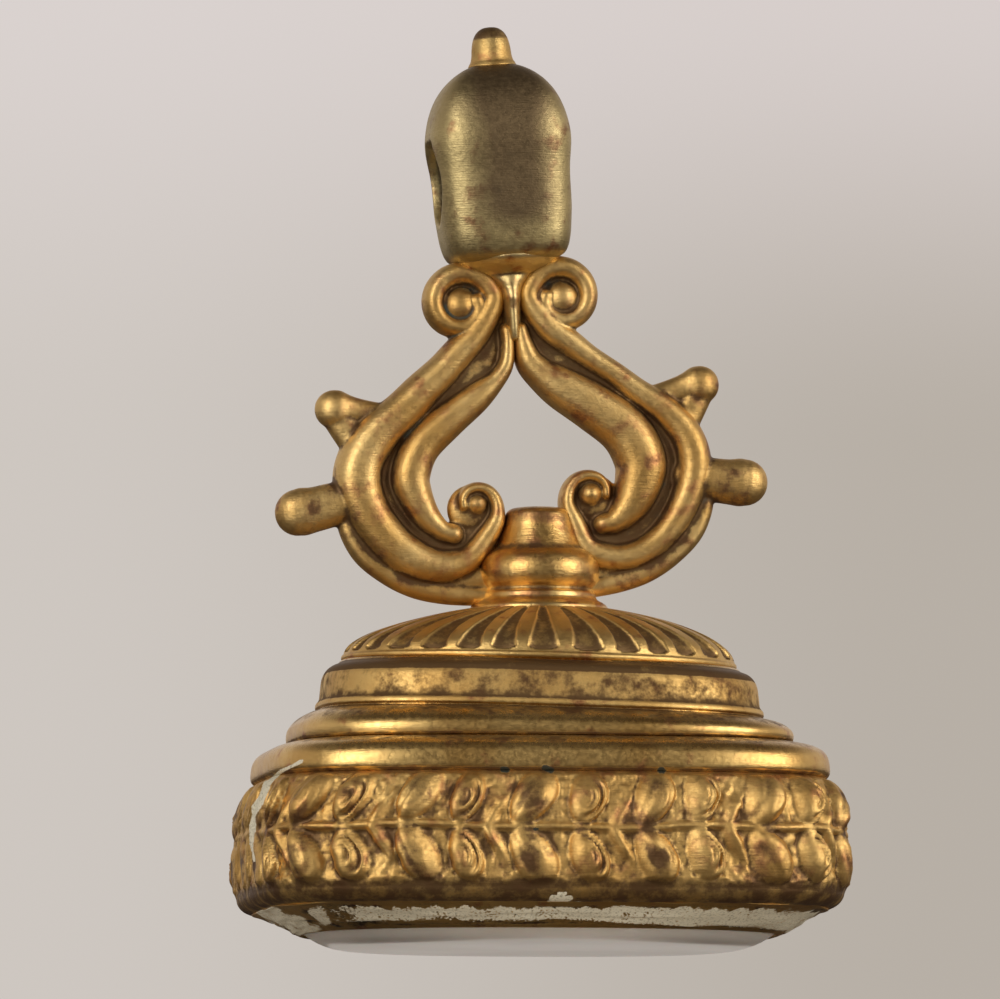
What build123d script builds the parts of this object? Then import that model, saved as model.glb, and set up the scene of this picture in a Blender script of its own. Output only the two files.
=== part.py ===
"""Fob seal: a gilt desk seal that stands on its stone, with a scrolled handle and a bored bail.

The base is a stack of thin stamped rings, cushion shaped in plan, round a pitch filling.  A lyre
of two scrolled castings rises from a turned collar and carries the bail that takes the ring.
Origin at the middle of the stone's face, +Z up the seal, +X to the right of the lyre.
"""

import os
from math import cos, radians, sin

from build123d import *

# Driving sizes, in millimetres and degrees

# Base, seen from above; the plan grows rounder by squareness_fall for each whole width it is drawn in
base_width = 20.6
base_depth = 16.8
base_squareness = 4.4
squareness_fall = 11.3
wall = 0.45
fit_gap = 0.03

# Stone and its setting; the width and depth are the face's
stone_width = 14.3
stone_depth = 11.1
stone_squareness = 2.5
stone_bevel = 0.88
stone_bevel_height = 0.62
stone_thickness = 2.0
lip_height = 0.52
lip_land = 0.12
cement_thickness = 0.6

# Heights of the base's seats, from the stone's face up
band_bottom_z = 1.3
band_top_z = 5.74
lower_moulding_top_z = 7.0
frieze_bottom_z = 8.0
frieze_top_z = 9.7
filling_top_z = 9.5

# How far each ring stands in from the base's size
band_foot_inset = 0.74
band_head_inset = 0.62
band_roll_height = 0.45
lower_moulding_inset = 0.7
upper_moulding_inset = 1.8
frieze_foot_inset = 2.78
frieze_head_inset = 3.3

# Laurel on the band: a row of leaves on each side of a stem, leaning away from it
leaf_count = 34
stem_z = 3.85
stem_height = 0.16
leaf_height = 0.3
leaf_lean = 0.3
leaf_rise = 0.96
leaf_half_length = 0.6

# Fluted dome
rim_inset = 3.62
rim_height = 0.2
dome_rise = 1.74
dome_top_radius = 2.35
dome_fall = 1.7
flute_count = 30
flute_depth = 0.17
flute_share = 0.7

# Collar, tang and washer
collar_foot_radius = 2.34
collar_waist_radius = 1.84
collar_bulge_radius = 2.07
collar_neck_radius = 1.16
collar_foot_height = 0.66
collar_bulge_height = 1.4
collar_neck_height = 1.44
tang_radius = 0.85
tang_reach = 1.4
rivet_radius = 1.35
rivet_height = 0.35
washer_radius = 1.65
washer_thickness = 0.35

# Handle: the lyre stands a little to the left on the collar and leans to the left
handle_lean = 4.3
handle_shift = -0.3
handle_pivot_rise = 1.21
rib_depth = 0.5
rib_depth_share = 0.62
web_half_depth = 0.62
eye_radius = 0.34

# Upper volute of the right arm: eye, first angle, sweep, first and last radius and half width
upper_eye = (1.72, 9.42)
upper_volute_start = 180
upper_volute_sweep = -440
upper_volute_radius = 1.12
upper_volute_end_radius = 0.29
upper_volute_half_width = 0.42
upper_volute_end_half_width = 0.2
lower_eye = (1.86, 2.38)

# Routes of the right arm as (across, up from the pivot, half width): the outer rib runs from the upper
# volute round into the lower one, the inner rib lines the opening, and the strip backs the arm's foot
outer_rib_route = [
    (1.24, 8.34, 0.5),
    (1.94, 7.7, 0.52),
    (2.52, 7.16, 0.52),
    (3.34, 6.5, 0.55),
    (4.05, 5.86, 0.6),
    (4.9, 5.2, 0.66),
    (5.53, 4.4, 0.71),
    (5.76, 3.6, 0.74),
    (5.66, 2.85, 0.72),
    (5.32, 2.05, 0.69),
    (4.75, 1.25, 0.66),
    (4.1, 0.72, 0.63),
    (3.4, 0.44, 0.58),
    (2.7, 0.42, 0.53),
    (1.97, 0.72, 0.46),
    (1.38, 1.28, 0.39),
    (1.16, 1.94, 0.34),
    (1.34, 2.58, 0.3),
    (1.78, 2.9, 0.28),
    (2.24, 2.76, 0.26),
    (2.34, 2.36, 0.22),
]
inner_rib_route = [
    (0.24, 8.9, 0.27),
    (0.32, 8.0, 0.38),
    (0.52, 7.25, 0.54),
    (1.16, 6.42, 0.63),
    (2.4, 5.38, 0.7),
    (3.45, 4.58, 0.76),
    (3.92, 3.7, 0.82),
    (3.86, 3.0, 0.78),
    (3.52, 2.22, 0.66),
    (2.95, 1.72, 0.46),
    (2.38, 1.7, 0.33),
    (2.0, 2.05, 0.22),
]
strip_route = [
    (6.05, 2.5, 0.32),
    (6.1, 1.95, 0.35),
    (5.66, 1.05, 0.38),
    (4.85, 0.32, 0.39),
    (4.0, -0.18, 0.38),
    (3.1, -0.44, 0.38),
    (2.0, -0.62, 0.36),
]

# Sprigs of the right arm, from the root to the rounded end
upper_sprig_route = [
    (4.7, 5.6, 0.56),
    (5.3, 5.85, 0.46),
    (5.75, 5.97, 0.5),
    (6.2, 6.04, 0.66),
    (6.65, 6.07, 0.58),
    (6.9, 6.08, 0.32),
]
sprig_foot_route = [
    (6.25, 5.75, 0.42),
    (6.05, 5.25, 0.42),
    (5.75, 4.75, 0.5),
]
lower_sprig_route = [
    (5.7, 2.95, 0.7),
    (6.4, 2.8, 0.75),
    (7.4, 2.64, 0.82),
    (7.95, 2.58, 0.72),
    (8.32, 2.55, 0.42),
]

# Bail, its post and its finial, up from the pivot
post_bottom_rise = 8.0
post_radius = 0.28
post_flare_rise = 9.9
post_head_radius = 1.4
bail_bottom_rise = 10.75
bail_width = 4.86
bail_depth = 4.6
bail_foot_width = 4.0
bail_squareness = 3.0
bail_flats = 32
bail_shoulder_rise = 14.9
bail_top_rise = 17.54
ring_hole_radius = 1.35
ring_hole_rise = 13.5
tenon_radius = 0.7
tenon_length = 0.55
finial_foot_radius = 0.9
finial_radius = 0.66
finial_height = 1.3
finial_peg_radius = 0.35
finial_peg_length = 0.8

# Values that follow from the driving sizes

collar_bottom_z = frieze_top_z + rim_height + dome_rise
handle_pivot_z = collar_bottom_z + handle_pivot_rise
lower_step = (lower_moulding_inset, upper_moulding_inset, band_top_z, lower_moulding_top_z)
upper_step = (upper_moulding_inset, frieze_foot_inset, lower_moulding_top_z, frieze_bottom_z)
handle_place = Pos(handle_shift, 0, handle_pivot_z) * Rot(0, -handle_lean, 0)


def squareness(inset):
    """The plan grows rounder as a ring stands further in."""
    return max(2.0, base_squareness - squareness_fall * inset / base_width)


def outline(half_width, half_depth, power, z):
    """A cushion outline, |x/a|^n + |y/b|^n = 1, at a height: four bowed sides and four corners, as arcs."""

    def point(turn, x_side, y_side):
        x = half_width * cos(radians(turn)) ** (2 / power)
        y = half_depth * sin(radians(turn)) ** (2 / power)
        return (x_side * x, y_side * y, z)

    side_end = 15
    end_start = 70
    arcs = []
    for x_side, y_side in ((1, 1), (-1, 1), (-1, -1), (1, -1)):
        corner = [point(turn, x_side, y_side) for turn in (side_end, 45, end_start)]
        arcs.append(ThreePointArc(*corner))
    for x_side in (1, -1):
        ends = (point(side_end, x_side, -1), (x_side * half_width, 0, z), point(side_end, x_side, 1))
        arcs.append(ThreePointArc(*ends))
    for y_side in (1, -1):
        ends = (point(end_start, -1, y_side), (0, y_side * half_depth, z), point(end_start, 1, y_side))
        arcs.append(ThreePointArc(*ends))
    return Face(Wire.combine(arcs)[0])


def ring_outline(inset, z):
    """The base's outline drawn in by an inset."""
    return outline(base_width / 2 - inset, base_depth / 2 - inset, squareness(inset), z)


def stack(levels):
    """A solid through the base's outline at several (inset, z) levels."""
    return loft([ring_outline(inset, z) for inset, z in levels], ruled=True)


def faceted(rows):
    """A solid of flat triangles between rows of points, closed by its first and its last row."""
    faces = [Face(Wire.make_polygon(rows[0])), Face(Wire.make_polygon(rows[-1]))]
    for low, high in zip(rows, rows[1:]):
        for here in range(len(low)):
            after = (here + 1) % len(low)
            faces.append(Face(Wire.make_polygon([low[here], low[after], high[after]])))
            faces.append(Face(Wire.make_polygon([low[here], high[after], high[here]])))
    return Solid(Shell(faces))


# Stone, cement and setting


def stone_outline(growth, z):
    """The stone's soft oval outline, grown evenly from its face."""
    return outline(stone_width / 2 + growth, stone_depth / 2 + growth, stone_squareness, z)


def make_seal_stone():
    girdle = stone_outline(stone_bevel, stone_bevel_height)
    bevelled_face = loft([stone_outline(0, 0), girdle], ruled=True)
    return bevelled_face + extrude(girdle, stone_thickness - stone_bevel_height, (0, 0, 1))


def make_stone_cement():
    return extrude(stone_outline(stone_bevel, stone_thickness), cement_thickness, (0, 0, 1))


def make_stone_bezel():
    """A sloped rim from the band's foot down to the lip that is rubbed over the stone's bevel."""
    lip = stone_outline(stone_bevel + lip_land, lip_height)
    rim = loft([lip, ring_outline(band_foot_inset, band_bottom_z)], ruled=True)
    girdle = stone_outline(stone_bevel + fit_gap, stone_bevel_height)
    bevel = loft([stone_outline(fit_gap, 0), girdle], ruled=True)
    return rim - bevel - extrude(girdle, band_bottom_z, (0, 0, 1))


# Base rings


def quarter_round(foot_inset, head_inset, bottom_z, top_z):
    """Levels of a rounded step: upright at its foot, flat at its head."""
    levels = []
    for angle in (0, 45, 90):
        inset = head_inset - (head_inset - foot_inset) * cos(radians(angle))
        levels.append((inset, bottom_z + (top_z - bottom_z) * sin(radians(angle))))
    return levels


def leaf_row(z, inset, height, width):
    """Points of the band's outline with a boss for each leaf, shifted along as the row leans."""
    path = ring_outline(0, z).outer_wire()
    shift = leaf_lean * abs(z - stem_z)
    points = []
    for leaf in range(leaf_count):
        for place, share in ((-0.5, 0), (-0.22 * width, 1), (0.22 * width, 1)):
            along = ((leaf + place + shift) / leaf_count) % 1
            outward = path.tangent_at(along).cross(Vector(0, 0, 1))
            points.append(path.position_at(along) + outward * (height * share - inset))
    return points


def make_leaf_band():
    """Rolled in at its foot, upright to the stem, and sloping in to its head, with the laurel on it."""
    slope_height = band_top_z - stem_z
    levels = [
        (band_bottom_z, band_foot_inset, 0, 1),
        (band_bottom_z + 0.3 * band_roll_height, 0.3 * band_foot_inset, 0, 1),
        (band_bottom_z + band_roll_height, 0, 0, 1),
    ]
    for rise in (-leaf_rise - leaf_half_length, -leaf_rise, -leaf_rise + leaf_half_length):
        tip = abs(rise + leaf_rise) / leaf_half_length
        levels.append((stem_z + rise, 0, leaf_height * (1 - 0.4 * tip), 1 - 0.4 * tip))
    levels.append((stem_z, -stem_height, 0, 1))
    for rise in (leaf_rise - leaf_half_length, leaf_rise, leaf_rise + leaf_half_length):
        tip = abs(rise - leaf_rise) / leaf_half_length
        inset = band_head_inset * (rise / slope_height) ** 2
        levels.append((stem_z + rise, inset, leaf_height * (1 - 0.4 * tip), 1 - 0.4 * tip))
    levels.append((band_top_z, band_head_inset, 0, 1))
    hollow = [
        (band_foot_inset + wall, band_bottom_z),
        (wall, band_bottom_z + band_roll_height + wall),
        (wall, stem_z),
        (lower_moulding_inset + wall, band_top_z),
    ]
    return faceted([leaf_row(*level) for level in levels]) - stack(hollow)


def step_hollow(foot_inset, head_inset, bottom_z, top_z):
    """The back of a stamped rounded step: one upright and one slope."""
    return [
        (foot_inset + wall, bottom_z),
        (foot_inset + wall, bottom_z + 0.4 * (top_z - bottom_z)),
        (head_inset + wall, top_z),
    ]


def make_lower_moulding():
    return stack(quarter_round(*lower_step)) - stack(step_hollow(*lower_step))


def make_upper_moulding():
    """A rounded step with the plain frieze that rises from it in the same metal."""
    frieze_height = frieze_top_z - frieze_bottom_z
    upright_inset = frieze_foot_inset + 0.3 * (frieze_head_inset - frieze_foot_inset)
    frieze = [(upright_inset, frieze_bottom_z + 0.65 * frieze_height), (frieze_head_inset, frieze_top_z)]
    hollow = step_hollow(*upper_step) + [(frieze_head_inset + wall, frieze_top_z)]
    return stack(quarter_round(*upper_step) + frieze) - stack(hollow)


def make_base_filling():
    """Pitch poured in behind the rings, over the stone's cement."""
    hollows = [
        (lower_moulding_inset + wall, stone_thickness + cement_thickness),
        (lower_moulding_inset + wall, band_top_z),
        (frieze_foot_inset + wall, frieze_bottom_z),
        (frieze_head_inset + wall, filling_top_z),
    ]
    return stack([(inset + fit_gap, z) for inset, z in hollows])


# Fluted dome


def dome_size(angle):
    """Half width, half depth and height of the dome part way up: oval at the rim, round at the top."""
    share = cos(radians(angle)) ** dome_fall
    half_width = dome_top_radius + (base_width / 2 - rim_inset - dome_top_radius) * share
    half_depth = dome_top_radius + (base_depth / 2 - rim_inset - dome_top_radius) * share
    return half_width, half_depth, frieze_top_z + rim_height + dome_rise * sin(radians(angle))


def fluted_row(angle, drop=0):
    """Points of the dome's oval, hollowed at even steps between ribs; the flutes fade out at the rim."""
    half_width, half_depth, z = dome_size(angle)
    dig = flute_depth * min(1, angle / 12) * (1 - 0.4 * sin(radians(angle)))
    points = []
    for flute in range(flute_count):
        for place, share in ((-0.5 * flute_share, 0), (0, 1), (0.5 * flute_share, 0)):
            turn = radians(360 * (flute + place) / flute_count)
            x = (half_width - dig * share) * cos(turn)
            y = (half_depth - dig * share) * sin(turn)
            points.append((x, y, z - drop))
    return points


def plain_row(half_width, half_depth, z):
    """Points of a plain oval, one for each flute, for the dome's inside."""
    turns = [radians(360 * flute / flute_count) for flute in range(flute_count)]
    return [(half_width * cos(turn), half_depth * sin(turn), z) for turn in turns]


def make_fluted_dome():
    skin = faceted([fluted_row(0, rim_height)] + [fluted_row(angle) for angle in (0, 12, 33, 58, 90)])
    rim_half_width, rim_half_depth, _ = dome_size(0)
    inside = [plain_row(rim_half_width - wall, rim_half_depth - wall, frieze_top_z)]
    for angle in (33, 90):
        half_width, half_depth, z = dome_size(angle)
        inside.append(plain_row(half_width - 1.4 * wall, half_depth - 1.4 * wall, z - wall))
    tang_hole = Pos(0, 0, frieze_top_z) * Cylinder(tang_radius + fit_gap, 4 * dome_rise)
    return skin - faceted(inside) - tang_hole


# Collar, tang and washer


def turned(shape):
    """A closed half section of (radius, height) points turned about the upright axis."""
    section = Face(Wire.make_polygon([(radius, 0, z) for radius, z in shape]))
    return revolve(section, Axis.Z)


def make_neck_collar():
    """A turned knop: a foot with a sloped edge, a waist, a bulge and a short neck."""
    z = collar_bottom_z
    waist_z = z + collar_foot_height
    neck_z = waist_z + collar_bulge_height
    top_z = neck_z + collar_neck_height
    shape = [
        (0, z),
        (collar_foot_radius, z),
        (collar_foot_radius, z + 0.25 * collar_foot_height),
        (collar_waist_radius, waist_z),
        (collar_bulge_radius, waist_z + 0.3 * collar_bulge_height),
        (collar_bulge_radius, waist_z + 0.6 * collar_bulge_height),
        (0.9 * collar_bulge_radius, waist_z + 0.85 * collar_bulge_height),
        (1.25 * collar_neck_radius, neck_z),
        (collar_neck_radius, neck_z + 0.5 * collar_neck_height),
        (collar_neck_radius, top_z - 0.2 * collar_neck_height),
        (0.75 * collar_neck_radius, top_z),
        (0, top_z),
    ]
    return turned(shape)


def make_tang_socket():
    return Pos(0, 0, collar_bottom_z) * Cylinder(
        tang_radius + fit_gap, tang_reach + fit_gap, align=(Align.CENTER, Align.CENTER, Align.MIN)
    )


def make_handle_tang():
    """A stud brazed up into the collar and riveted over a washer under the dome."""
    washer_bottom = collar_bottom_z - wall - washer_thickness
    shank = Pos(0, 0, washer_bottom) * Cylinder(
        tang_radius, collar_bottom_z + tang_reach - washer_bottom, align=(Align.CENTER, Align.CENTER, Align.MIN)
    )
    head = Pos(0, 0, washer_bottom) * Cylinder(
        rivet_radius, rivet_height, align=(Align.CENTER, Align.CENTER, Align.MAX)
    )
    head = chamfer(head.edges().group_by(Axis.Z)[0], rivet_height * 0.6)
    return shank + head


def make_tang_washer():
    plate = Pos(0, 0, collar_bottom_z - wall) * Cylinder(
        washer_radius, washer_thickness, align=(Align.CENTER, Align.CENTER, Align.MAX)
    )
    hole_length = 4 * (washer_thickness + wall)
    return plate - Pos(0, 0, collar_bottom_z) * Cylinder(tang_radius + fit_gap, hole_length)


# Lyre: each arm is two ribs side by side, two volutes and two sprigs


def upper_volute_route():
    """Points of the upper spiral about its eye, as (across, up, half width), from the rib inwards."""
    points = []
    steps = 10
    for step in range(steps + 1):
        share = step / steps
        angle = radians(upper_volute_start + upper_volute_sweep * share)
        radius = upper_volute_radius + (upper_volute_end_radius - upper_volute_radius) * share
        half_width = upper_volute_half_width + (upper_volute_end_half_width - upper_volute_half_width) * share
        points.append((upper_eye[0] + radius * cos(angle), upper_eye[1] + radius * sin(angle), half_width))
    return points


def rod(route, depth, depth_share):
    """A rod of eight flats along a route; its half depth is a base plus a share of its half width."""
    spine = Spline(*[(x, 0, z) for x, z, _ in route])
    flats = 8
    grow = 1 / cos(radians(180 / flats))
    sections = []
    for x, z, half_width in route:
        tangent = spine.tangent_at(spine.param_at_point((x, 0, z)))
        half_depth = depth + depth_share * half_width
        corners = []
        for flat in range(flats):
            turn = radians(360 * (flat + 0.5) / flats)
            corners.append((grow * half_depth * cos(turn), grow * half_width * sin(turn), 0))
        plane = Plane(origin=(x, 0, z), x_dir=(0, 1, 0), z_dir=tangent)
        sections.append(plane * Face(Wire.make_polygon(corners)))
    return loft(sections, ruled=True)


def make_web():
    """The floor of the channel: a plate between the middles of the two ribs."""
    edge = [(x, 0, z) for x, z, _ in outer_rib_route[:17] + inner_rib_route[:0:-1]]
    return extrude(Face(Wire.make_polygon(edge)), web_half_depth, (0, 1, 0), both=True)


def eye_button(eye, web_radius):
    """The solid middle of a volute: a thin web with a button through it."""
    across = Pos(eye[0], 0, eye[1]) * Rot(90, 0, 0)
    depth = rib_depth + rib_depth_share * eye_radius
    web = extrude(across * RegularPolygon(web_radius, 12), web_half_depth, both=True)
    return web + extrude(across * RegularPolygon(eye_radius, 8), depth, both=True)


def make_right_arm():
    arm = rod(upper_volute_route()[::-1] + outer_rib_route, rib_depth, rib_depth_share)
    arm += rod(inner_rib_route, rib_depth, rib_depth_share)
    arm += make_web()
    arm += rod(strip_route, rib_depth, rib_depth_share)
    for sprig_route in (upper_sprig_route, sprig_foot_route, lower_sprig_route):
        arm += rod(sprig_route, 0, 1)
    arm += eye_button(upper_eye, upper_volute_radius * 0.8)
    arm += eye_button(lower_eye, eye_radius * 1.2)
    return arm


def make_bail_post():
    """A trumpet-shaped post between the upper volutes, with a tenon up into the bail."""
    flare_height = bail_bottom_rise - post_flare_rise
    flare = post_head_radius - post_radius
    shape = [
        (0, post_bottom_rise),
        (post_radius, post_bottom_rise),
        (post_radius, post_flare_rise),
        (post_radius + 0.3 * flare, post_flare_rise + 0.6 * flare_height),
        (post_head_radius, bail_bottom_rise),
        (tenon_radius, bail_bottom_rise),
        (tenon_radius, bail_bottom_rise + tenon_length),
        (0, bail_bottom_rise + tenon_length),
    ]
    return turned(shape)


def make_bail():
    """A barrel with a domed top, square-shouldered in plan, bored across for the ring."""
    half_width = bail_width / 2
    half_depth = bail_depth / 2
    foot_share = bail_foot_width / bail_width
    levels = [(foot_share, bail_bottom_rise), (1, bail_shoulder_rise)]
    dome_height = bail_top_rise - bail_shoulder_rise
    for angle in (25, 47, 66, 82):
        levels.append((cos(radians(angle)), bail_shoulder_rise + dome_height * sin(radians(angle))))
    rows = []
    for share, rise in levels:
        points = []
        for flat in range(bail_flats):
            turn = radians(360 * flat / bail_flats)
            across = abs(cos(turn) / half_width) ** bail_squareness
            along = abs(sin(turn) / half_depth) ** bail_squareness
            reach = share * (across + along) ** (-1 / bail_squareness)
            points.append((reach * cos(turn), reach * sin(turn), rise))
        rows.append(points)
    barrel = faceted(rows)
    bore = Pos(0, 0, ring_hole_rise) * Rot(0, 90, 0) * Cylinder(ring_hole_radius, 2 * bail_width)
    socket = Pos(0, 0, bail_bottom_rise) * Cylinder(
        tenon_radius + fit_gap, tenon_length + fit_gap, align=(Align.CENTER, Align.CENTER, Align.MIN)
    )
    peg_hole = Pos(0, 0, bail_head_rise()) * Cylinder(
        finial_peg_radius + fit_gap, finial_peg_length + fit_gap, align=(Align.CENTER, Align.CENTER, Align.MAX)
    )
    return barrel - bore - socket - peg_hole


def bail_head_rise():
    """The small flat on top of the bail, where the finial sits."""
    return bail_shoulder_rise + (bail_top_rise - bail_shoulder_rise) * sin(radians(82))


def make_bail_finial():
    """A pip on a flared foot, pegged into the bail."""
    seat = bail_head_rise()
    shape = [
        (0, seat - finial_peg_length),
        (finial_peg_radius, seat - finial_peg_length),
        (finial_peg_radius, seat),
        (finial_foot_radius, seat),
        (0.92 * finial_radius, seat + 0.28 * finial_height),
        (finial_radius, seat + 0.6 * finial_height),
        (0.72 * finial_radius, seat + 0.88 * finial_height),
        (0.3 * finial_radius, seat + finial_height),
        (0, seat + finial_height),
    ]
    return turned(shape)


def make_nodes():
    """Every piece in its place, by name."""
    collar = make_neck_collar()
    post = handle_place * make_bail_post()
    right_side = Box(base_width, base_depth, 4 * bail_top_rise, align=(Align.MIN, Align.CENTER, Align.CENTER))
    arm = make_right_arm() & right_side
    right_scroll = handle_place * arm - collar - post
    left_scroll = handle_place * mirror(arm, about=Plane.YZ) - collar - post
    return {
        "seal_stone": make_seal_stone(),
        "stone_cement": make_stone_cement(),
        "stone_bezel": make_stone_bezel(),
        "leaf_band": make_leaf_band(),
        "lower_moulding": make_lower_moulding(),
        "upper_moulding": make_upper_moulding(),
        "fluted_dome": make_fluted_dome(),
        "base_filling": make_base_filling(),
        "neck_collar": collar - make_tang_socket(),
        "handle_tang": make_handle_tang(),
        "tang_washer": make_tang_washer(),
        "left_scroll": left_scroll,
        "right_scroll": right_scroll,
        "bail_post": post,
        "bail": handle_place * make_bail(),
        "bail_finial": handle_place * make_bail_finial(),
    }


os.makedirs("parts", exist_ok=True)
for node, solid in make_nodes().items():
    export_step(solid, f"parts/{node}.step")
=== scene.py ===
import bpy
import math
import numpy as np
from mathutils import Matrix


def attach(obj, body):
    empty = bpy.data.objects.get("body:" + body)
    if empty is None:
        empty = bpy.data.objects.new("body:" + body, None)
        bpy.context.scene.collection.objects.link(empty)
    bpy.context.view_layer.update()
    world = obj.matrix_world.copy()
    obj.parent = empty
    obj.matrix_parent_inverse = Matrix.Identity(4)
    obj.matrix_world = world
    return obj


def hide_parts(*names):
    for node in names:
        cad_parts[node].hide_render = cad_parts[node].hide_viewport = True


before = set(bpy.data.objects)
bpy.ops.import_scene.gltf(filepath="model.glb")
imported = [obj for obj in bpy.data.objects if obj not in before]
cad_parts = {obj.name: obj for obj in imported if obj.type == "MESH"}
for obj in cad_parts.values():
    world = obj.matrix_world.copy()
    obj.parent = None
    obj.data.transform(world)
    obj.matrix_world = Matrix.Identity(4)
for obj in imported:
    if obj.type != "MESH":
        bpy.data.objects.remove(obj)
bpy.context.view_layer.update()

# Shared sizes in millimetres: the base's plan, the handle's lean and pivot, and the photograph's view
base = {"halfWidth": 10.3, "halfDepth": 8.4, "squareness": 4.4, "fall": 0.55, "sag": 0.022}
handle = {"lean": math.radians(4.3), "pivot": 12.85, "shift": -0.3}
view = {
    "azimuth": -7.0, "elevation": -4.0, "distance": 600.0, "scale": 29.4,  # scale in pixels per millimetre
    "originPixel": (539.0, 951.0), "middlePixel": (500.0, 499.5), "pixelsWide": 1000,
}
toMetres, toMillimetres = 0.001, 1000.0
fullTurn = 2 * math.pi


# Shaping helpers

def rise(values, start, width):
    # 0 up to the start, then an even climb to 1 over the width
    return np.clip((values - start) / width, 0, 1)


def fade(values, end, width):
    # an even fall over the width that reaches 0 at the end
    return np.clip((end - values) / width, 0, 1)


def evenTurn(count):
    # angles that part a full turn evenly
    return np.linspace(0, fullTurn, count, endpoint=False)


def smoothCurve(points, count):
    # Catmull-Rom curve through the points: each span a cubic whose end slopes follow its neighbours
    p = np.asarray(points, float)
    p = np.vstack([2 * p[0] - p[1], p, 2 * p[-1] - p[-2]])
    t = np.linspace(0, len(p) - 3, count)
    i = np.minimum(t.astype(int), len(p) - 4)
    f = (t - i)[:, None]
    a, b, c, d = p[i], p[i + 1], p[i + 2], p[i + 3]
    return 0.5 * (2 * b + (c - a) * f + (2 * a - 5 * b + 4 * c - d) * f**2 + (3 * b - a - 3 * c + d) * f**3)


def ringAt(angle, r, z):
    # points round the upright axis at polar angles, distances and heights
    return np.stack([r * np.cos(angle), r * np.sin(angle), z + 0 * r], -1)


def reach(angle, a, b, power):
    # distance from the middle to a cushion outline, |x/a|^n + |y/b|^n = 1, at a polar angle
    return (np.abs(np.cos(angle) / a) ** power + np.abs(np.sin(angle) / b) ** power) ** (-1 / power)


def evenAngles(count):
    # polar angles that step evenly along the base's outline, and the outline's length
    fine = np.linspace(0, fullTurn, 8001)
    r = reach(fine, base["halfWidth"], base["halfDepth"], base["squareness"])
    step = np.hypot(np.diff(r * np.cos(fine)), np.diff(r * np.sin(fine)))
    run = np.concatenate([[0], np.cumsum(step)])
    return np.interp(np.arange(count) / count * run[-1], run, fine), run[-1]


def ringPoints(angle, inset, z):
    # base outline drawn in by an inset, rounder the further in, at a height; angle, inset and z broadcast
    power = np.maximum(2.0, base["squareness"] - base["fall"] * inset)
    return ringAt(angle, reach(angle, base["halfWidth"] - inset, base["halfDepth"] - inset, power), z)


def leaned(points):
    # turns handle points about the pivot, leaning the top to the left
    p = np.asarray(points, float)
    c, s = math.cos(handle["lean"]), math.sin(handle["lean"])
    x, y, z = p[..., 0], p[..., 1], p[..., 2]
    return np.stack([handle["shift"] + c * x - s * z, y, handle["pivot"] + s * x + c * z], -1)


def wobble(angle, seed, size):
    # a slow hand-made waviness: a few sines of low order with seeded phases
    r = np.random.default_rng(seed)
    waves = [np.sin(k * angle + r.uniform(0, 6.28)) * r.uniform(0.4, 1) / k**0.5 for k in range(2, 9)]
    return size * sum(waves) / 2


def lattice(x, y, seed):
    # soft value noise: seeded values on whole steps, blended between them by smooth steps
    cells = 64
    table = np.random.default_rng(seed).random((cells, cells))
    i, j = np.floor(x).astype(int), np.floor(y).astype(int)
    f, g = x - i, y - j
    f, g = f * f * (3 - 2 * f), g * g * (3 - 2 * g)
    i, j = i % cells, j % cells
    i2, j2 = (i + 1) % cells, (j + 1) % cells
    low = table[i, j] * (1 - f) + table[i2, j] * f
    high = table[i, j2] * (1 - f) + table[i2, j2] * f
    return low * (1 - g) + high * g


def frontPlane(points):
    # across, up and ahead of the middle of the stone's face, in millimetres, as the photograph sees them
    az, el = math.radians(view["azimuth"]), math.radians(view["elevation"])
    x, y, z = points[..., 0], points[..., 1], points[..., 2]
    ahead = x * math.sin(az) - y * math.cos(az)
    return x * math.cos(az) + y * math.sin(az), z * math.cos(el) - ahead * math.sin(el), ahead


def strokes(points, marks):
    # 1 along each drawn line on the front, falling to 0 at one and a half times its half width,
    # which a slow noise varies; marks lists (half width, path) in the front plane
    across, up, ahead = frontPlane(points)
    field = np.zeros(across.shape)
    uneven = 0.45 + 1.1 * lattice(across * 2.6 + 40, up * 2.6 + 40, 17)
    for half, path in marks:
        for (x0, z0), (x1, z1) in zip(path, path[1:]):
            dx, dz = x1 - x0, z1 - z0
            share = np.clip(((across - x0) * dx + (up - z0) * dz) / (dx * dx + dz * dz), 0, 1)
            gap = np.hypot(across - x0 - share * dx, up - z0 - share * dz)
            field = np.maximum(field, np.clip(1.5 - gap / (half * uneven), 0, 1))
    return field * (ahead > 0)


# Mesh helpers

def gridFaces(rows, cols, wrapRows):
    # quads between neighbours on a grid that is joined round its columns, and round its rows where they wrap
    r, c = np.meshgrid(np.arange(rows if wrapRows else rows - 1), np.arange(cols), indexing="ij")
    r2, c2 = (r + 1) % rows, (c + 1) % cols
    return np.stack([r * cols + c, r2 * cols + c, r2 * cols + c2, r * cols + c2], -1).reshape(-1, 4)


def poleGrid(points):
    # a grid wrapped round its columns whose first and last rows shrink to single points
    rows, cols = points.shape[:2]
    inner = points[1:-1].reshape(-1, 3)
    first, last = points[0].mean(0), points[-1].mean(0)
    quads = gridFaces(rows - 2, cols, False)
    k = np.arange(cols)
    k2 = (k + 1) % cols
    top = (rows - 3) * cols
    n = len(inner)
    fanA = np.stack([np.full(cols, n), k, k2], -1)
    fanB = np.stack([np.full(cols, n + 1), top + k2, top + k], -1)
    return np.vstack([inner, first, last]), quads, np.vstack([fanA, fanB])


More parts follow.
